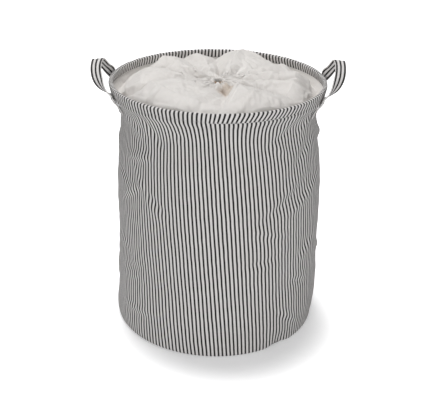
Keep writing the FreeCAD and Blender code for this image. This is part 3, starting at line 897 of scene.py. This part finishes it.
def settle(made, edge, mouth):
    """Let the cover's cloth buckle into its own creases: fuller cloth than its frame, held at both edges."""
    mesh = bpy.data.meshes.new("cover at rest")
    made.to_mesh(mesh)
    cloth = bpy.data.objects.new("cover at rest", mesh)
    bpy.context.scene.collection.objects.link(cloth)
    held = cloth.vertex_groups.new(name="held")
    for vert in mesh.vertices:
        share = (edge - vert.co.xy.length) / (edge - mouth)
        grip = max(smooth(1 - share / 0.05), smooth((share - 0.93) / 0.05), 0.12)
        held.add([vert.index], grip, "REPLACE")
    change = cloth.modifiers.new("Cloth", "CLOTH")
    rules = change.settings
    rules.quality = 5
    rules.mass = 0.1
    rules.tension_stiffness = 12.0
    rules.compression_stiffness = 12.0
    rules.shear_stiffness = 4.0
    rules.bending_stiffness = 0.05
    rules.vertex_group_mass = "held"
    rules.pin_stiffness = PIN_STIFFNESS
    rules.shrink_min = -COVER_FULLNESS
    rules.effector_weights.gravity = 0.15
    change.collision_settings.use_collision = False
    change.collision_settings.use_self_collision = False
    change.point_cache.frame_start = 1
    change.point_cache.frame_end = SETTLING
    scene = bpy.context.scene
    for step in range(1, SETTLING + 1):
        scene.frame_set(step)
    seen = cloth.evaluated_get(bpy.context.evaluated_depsgraph_get())
    spots = [vert.co.copy() for vert in seen.data.vertices]
    scene.frame_set(1)
    bpy.data.objects.remove(cloth)
    bpy.data.meshes.remove(mesh)
    made.verts.ensure_lookup_table()
    for vert, spot in zip(made.verts, spots):
        vert.co = spot


PIN_STIFFNESS = 0.5
COVER_FULLNESS = 0.055         # how much fuller the cloth is cut than its frame, along each thread
SETTLING = 24                  # frames of simulation


class LAUNDRY_OT_cover(bpy.types.Operator):
    """Cover: cotton sewn inside the hem, puffed up in lobes and gathered to the drawstring"""
    bl_idname = "laundry.cover"
    bl_label = "Cover"
    sectors = 12

    def execute(self, context):
        edge, mouth = HEM_HIGH.x - 0.0055, (MOUTH_HIGH.x + MOUTH_LOW.x * -1) / 2 + 0.0002
        foot = HEM_LOW.z + 0.0006
        tuck = 0.0026
        rows = [edge + (mouth - edge) * (row / 68) ** 1.08 for row in range(69)]
        rows += [mouth - tuck * step / 3 for step in (1, 2, 3)]
        made = turned([(radius, foot) for radius in rows], self.sectors * 30)
        face_along(made, lambda place: Vector((0, 0, 1)))
        for vert in made.verts:
            vert.co.z = foot + cover_height(vert.co, edge, mouth)
        settle(made, edge, mouth)
        for vert in made.verts:
            # The innermost rows are tucked in under the foot of the tunnel
            tucked = smooth((mouth - vert.co.xy.length) / tuck)
            vert.co.z += (MOUTH_LOW.z + 0.0006 - vert.co.z) * tucked
        made.normal_update()
        whole = bpy.data.meshes.new("whole cover")
        made.to_mesh(whole)
        made.free()
        normals = {tuple(round(c, 6) for c in vert.co): vert.normal.copy() for vert in whole.vertices}
        for sector in range(self.sectors):
            self.make_sector(whole, normals, sector, edge, mouth)
        bpy.data.meshes.remove(whole)
        return {"FINISHED"}

    def make_sector(self, whole, normals, sector, edge, mouth):
        """One gore of the cover: the faces of its sector, shaded with the normals of the whole cover so no seam shows
        between gores.
        """
        made = bmesh.new()
        made.from_mesh(whole)
        width = 1 / self.sectors
        others = [face for face in made.faces
                  if math.floor(turns_of(face.calc_center_median()) / width) != sector]
        bmesh.ops.delete(made, geom=others, context="FACES")
        name = "cover_gore_%02d" % (sector + 1)
        gore = piece(name, made, muslin())
        mesh = gore.data
        outside = [normals[tuple(round(c, 6) for c in vert.co)] for vert in mesh.vertices]
        mesh.normals_split_custom_set([outside[loop.vertex_index] for loop in mesh.loops])
        if sector == 0:
            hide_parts("cover")
        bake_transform(gore)
        return gore


class LAUNDRY_OT_mouth(bpy.types.Operator):
    """Mouth: the pleated tunnel at the middle of the cover and the drawcord inside it"""
    bl_idname = "laundry.mouth"
    bl_label = "Drawstring mouth"

    def execute(self, context):
        ring = (CORD_HIGH.x - CORD_LOW.x) / 2 - 0.0016
        level = (CORD_HIGH.z + CORD_LOW.z) / 2
        foot = MOUTH_LOW.z
        half = 0.0030
        knots = [(ring + half + 0.0008, foot), (ring + half + 0.0006, level), (ring + half * 0.7, level + half * 0.75),
                 (ring, level + half + 0.0002), (ring - half * 0.7, level + half * 0.75), (ring - half - 0.0004, level),
                 (ring - half - 0.0006, foot - 0.006), (ring - half + 0.002, foot - 0.014)]
        made = turned(curve_through(knots, 30), 240)
        face_along(made, lambda place: Vector((place.x, place.y, 0)) * (1 if place.xy.length > ring else -1))
        for vert in made.verts:
            place = vert.co.copy()
            turn = math.atan2(place.y, place.x)
            outwards = Vector((math.cos(turn), math.sin(turn), 0))
            pleat = math.sin(15 * turn + 2.5 * noise.noise(outwards * 1.6)) * 0.0009
            pleat += 0.0006 * noise.noise(outwards * 7 + Vector((0, 0, place.z * 200)))
            inner = smooth((ring - place.xy.length) / half)
            vert.co += outwards * pleat * (1 + 0.6 * inner) - Vector((0, 0, 0.0004 * (1 + math.sin(15 * turn)))) * (1 - inner)
            # Slit at the front, where the cord comes out of the tunnel
            front = smooth(1.3 - abs((math.degrees(turn) + 78) / 56))
            vert.co.z -= 0.0058 * front * smooth((vert.co.z - foot + 0.002) / 0.004)
        tunnel = piece("mouth_tunnel_cloth", made, muslin())
        thicken(tunnel, 0.0006)
        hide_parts("mouth_channel")
        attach(tunnel, "mouth")

        made = bmesh.new()
        radius = 0.00145
        section = bmesh.ops.create_circle(made, segments=18, radius=radius, cap_ends=False,
                                          matrix=Matrix.Translation((0, ring, level)) @ Matrix.Rotation(math.pi / 2, 4, "Y"))
        bmesh.ops.spin(made, geom=section["verts"] + made.edges[:], cent=(0, 0, 0), axis=(0, 0, 1), dvec=(0, 0, 0),
                       angle=math.tau, steps=220, use_merge=True, use_duplicate=False)
        bmesh.ops.remove_doubles(made, verts=made.verts[:], dist=1e-6)
        bmesh.ops.recalc_face_normals(made, faces=made.faces[:])
        for vert in made.verts:
            turn = math.atan2(vert.co.y, vert.co.x)
            middle = Vector((ring * math.cos(turn), ring * math.sin(turn), level))
            away = vert.co - middle
            phase = math.atan2(away.z, away.dot(Vector((math.cos(turn), math.sin(turn), 0))))
            vert.co = middle + away * (0.86 + 0.14 * abs(math.cos(1.5 * phase + 10.5 * turn)))
        cord = piece("drawcord_strands", made, twisted_cord())
        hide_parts("drawcord")
        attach(cord, "mouth")
        return {"FINISHED"}


# ------------------------------------------------------------------ seams

class LAUNDRY_OT_stitching(bpy.types.Operator):
    """Stitching: the row of thread that holds the hem down round the rim"""
    bl_idname = "laundry.stitching"
    bl_label = "Hem stitching"

    def execute(self, context):
        made = bmesh.new()
        height = HEM_LOW.z + 0.0022
        radius = HEM_HIGH.x - 0.00375 + 0.0016
        spots = []
        for step in range(361):
            turn = math.radians(step)
            outwards = Vector((math.cos(turn), math.sin(turn), 0))
            spots.append((outwards * radius + Vector((0, 0, height)), outwards))
        stitch_row(made, spots, 0.0040, 0.0030, 0.0006)
        stitches = piece("hem_stitches", made, thread())
        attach(stitches, "rim")
        return {"FINISHED"}


# ------------------------------------------------------------------ stage

class LAUNDRY_OT_stage(bpy.types.Operator):
    """Stage: pale floor, white surroundings, soft studio lamps and the camera"""
    bl_idname = "laundry.stage"
    bl_label = "Stage"

    def execute(self, context):
        scene = context.scene
        made = bmesh.new()
        bmesh.ops.create_grid(made, x_segments=1, y_segments=1, size=6.0)
        material, tree = new_material("matt white studio floor")
        seen = add(tree, "ShaderNodeLightPath")
        paint = add(tree, "ShaderNodeBsdfDiffuse", {"Color": linear("#EDEDEE")})
        place = add(tree, "ShaderNodeTexCoord").outputs["Object"]
        # Painted light: the floor glows for the camera alone, only at FLOOR_LIFT close round the bag's foot, set
        # towards the front, and at full white further out, so the floor next to the bag reads darker as painted shade
        # around its real shadow
        away = add(tree, "ShaderNodeVectorMath", {"operation": "DISTANCE", 1: (0.015, -0.055, 0)},
                   {0: place}).outputs["Value"]
        far = add(tree, "ShaderNodeMapRange",
                  {"interpolation_type": "SMOOTHSTEP", "From Min": 0.145, "From Max": 0.265,
                   "To Min": FLOOR_LIFT, "To Max": 1.0}, {"Value": away}).outputs[0]
        lift = add(tree, "ShaderNodeEmission", {"Color": (1, 1, 1, 1)},
                   {"Strength": maths(tree, "MULTIPLY", seen.outputs["Is Camera Ray"], far)})
        both = add(tree, "ShaderNodeAddShader", links={0: paint.outputs[0], 1: lift.outputs[0]})
        add(tree, "ShaderNodeOutputMaterial", links={"Surface": both.outputs[0]})
        mesh = bpy.data.meshes.new("studio_floor")
        made.to_mesh(mesh)
        made.free()
        floor = bpy.data.objects.new("studio_floor", mesh)
        mesh.materials.append(material)
        scene.collection.objects.link(floor)

        world = bpy.data.worlds.new("white studio")
        scene.world = world
        world.use_nodes = True
        tree = world.node_tree
        tree.nodes.clear()
        seen = add(tree, "ShaderNodeLightPath")
        straight = maths(tree, "MAXIMUM", seen.outputs["Is Camera Ray"],
                         maths(tree, "MAXIMUM", seen.outputs["Is Glossy Ray"], seen.outputs["Is Transmission Ray"]))
        strength = maths(tree, "ADD", maths(tree, "MULTIPLY", straight, 1.0 - WORLD_LIGHT), WORLD_LIGHT)
        sky = add(tree, "ShaderNodeBackground", {"Color": (1, 1, 1, 1)}, {"Strength": strength})
        add(tree, "ShaderNodeOutputWorld", links={"Surface": sky.outputs[0]})

        middle = Vector((0, 0, 0.25))
        for name, place, size, power in LAMPS:
            lamp = bpy.data.lights.new(name, "AREA")
            lamp.shape = "DISK"
            lamp.size = size
            lamp.energy = power
            thing = bpy.data.objects.new(name, lamp)
            thing.location = place
            thing.rotation_euler = (middle - Vector(place)).to_track_quat("-Z", "Y").to_euler()
            scene.collection.objects.link(thing)

        lens = bpy.data.cameras.new("studio camera")
        lens.sensor_width = 36.0
        lens.lens = 883.0 / 440 * 36.0
        camera = bpy.data.objects.new("studio camera", lens)
        pitch = Matrix.Rotation(math.radians(90 - 25.2), 4, "X") @ Matrix.Rotation(math.radians(1.1), 4, "Z")
        camera.matrix_world = Matrix.Translation((0.0073, -1.493, 0.924)) @ pitch
        scene.collection.objects.link(camera)
        scene.camera = camera
        scene.view_settings.view_transform = "Standard"
        return {"FINISHED"}


FLOOR_LIFT = 0.24              # brightening of the floor for the camera alone, which keeps its shadow
WORLD_LIGHT = 0.22
LAMPS = (
    ("overhead lamp", (-0.3, 0.45, 2.3), 1.0, 26.0),
    ("front lamp", (-0.7, -2.7, 1.0), 1.4, 32.0),
    ("right fill", (2.2, -1.4, 0.9), 1.6, 12.0),
)


# ------------------------------------------------------------------ add-on

class LAUNDRY_PT_panel(bpy.types.Panel):
    """Sizes, colours and pieces of the laundry bag"""
    bl_label = "Laundry bag"
    bl_idname = "LAUNDRY_PT_panel"
    bl_space_type = "VIEW_3D"
    bl_region_type = "UI"
    bl_category = "Laundry bag"

    def draw(self, context):
        for group in (sizes(), colours()):
            column = self.layout.column(align=True)
            for name in group.__annotations__:
                column.prop(group, name)
        for operator in OPERATORS:
            self.layout.operator(operator.bl_idname)


OPERATORS = (LAUNDRY_OT_wall, LAUNDRY_OT_base, LAUNDRY_OT_hem, LAUNDRY_OT_handles, LAUNDRY_OT_cover,
             LAUNDRY_OT_mouth, LAUNDRY_OT_stitching, LAUNDRY_OT_stage)
CLASSES = (BagColours, BagSizes, LAUNDRY_PT_panel) + OPERATORS


def register():
    for made in CLASSES:
        bpy.utils.register_class(made)
    bpy.types.Scene.laundry_bag_sizes = bpy.props.PointerProperty(type=BagSizes)
    bpy.types.Scene.laundry_bag_colours = bpy.props.PointerProperty(type=BagColours)


def unregister():
    del bpy.types.Scene.laundry_bag_colours
    del bpy.types.Scene.laundry_bag_sizes
    for made in reversed(CLASSES):
        bpy.utils.unregister_class(made)


def main():
    register()
    for step in ("wall", "base", "hem", "handles", "cover", "mouth", "stitching", "stage"):
        getattr(bpy.ops.laundry, step)()


if __name__ == "__main__":
    main()
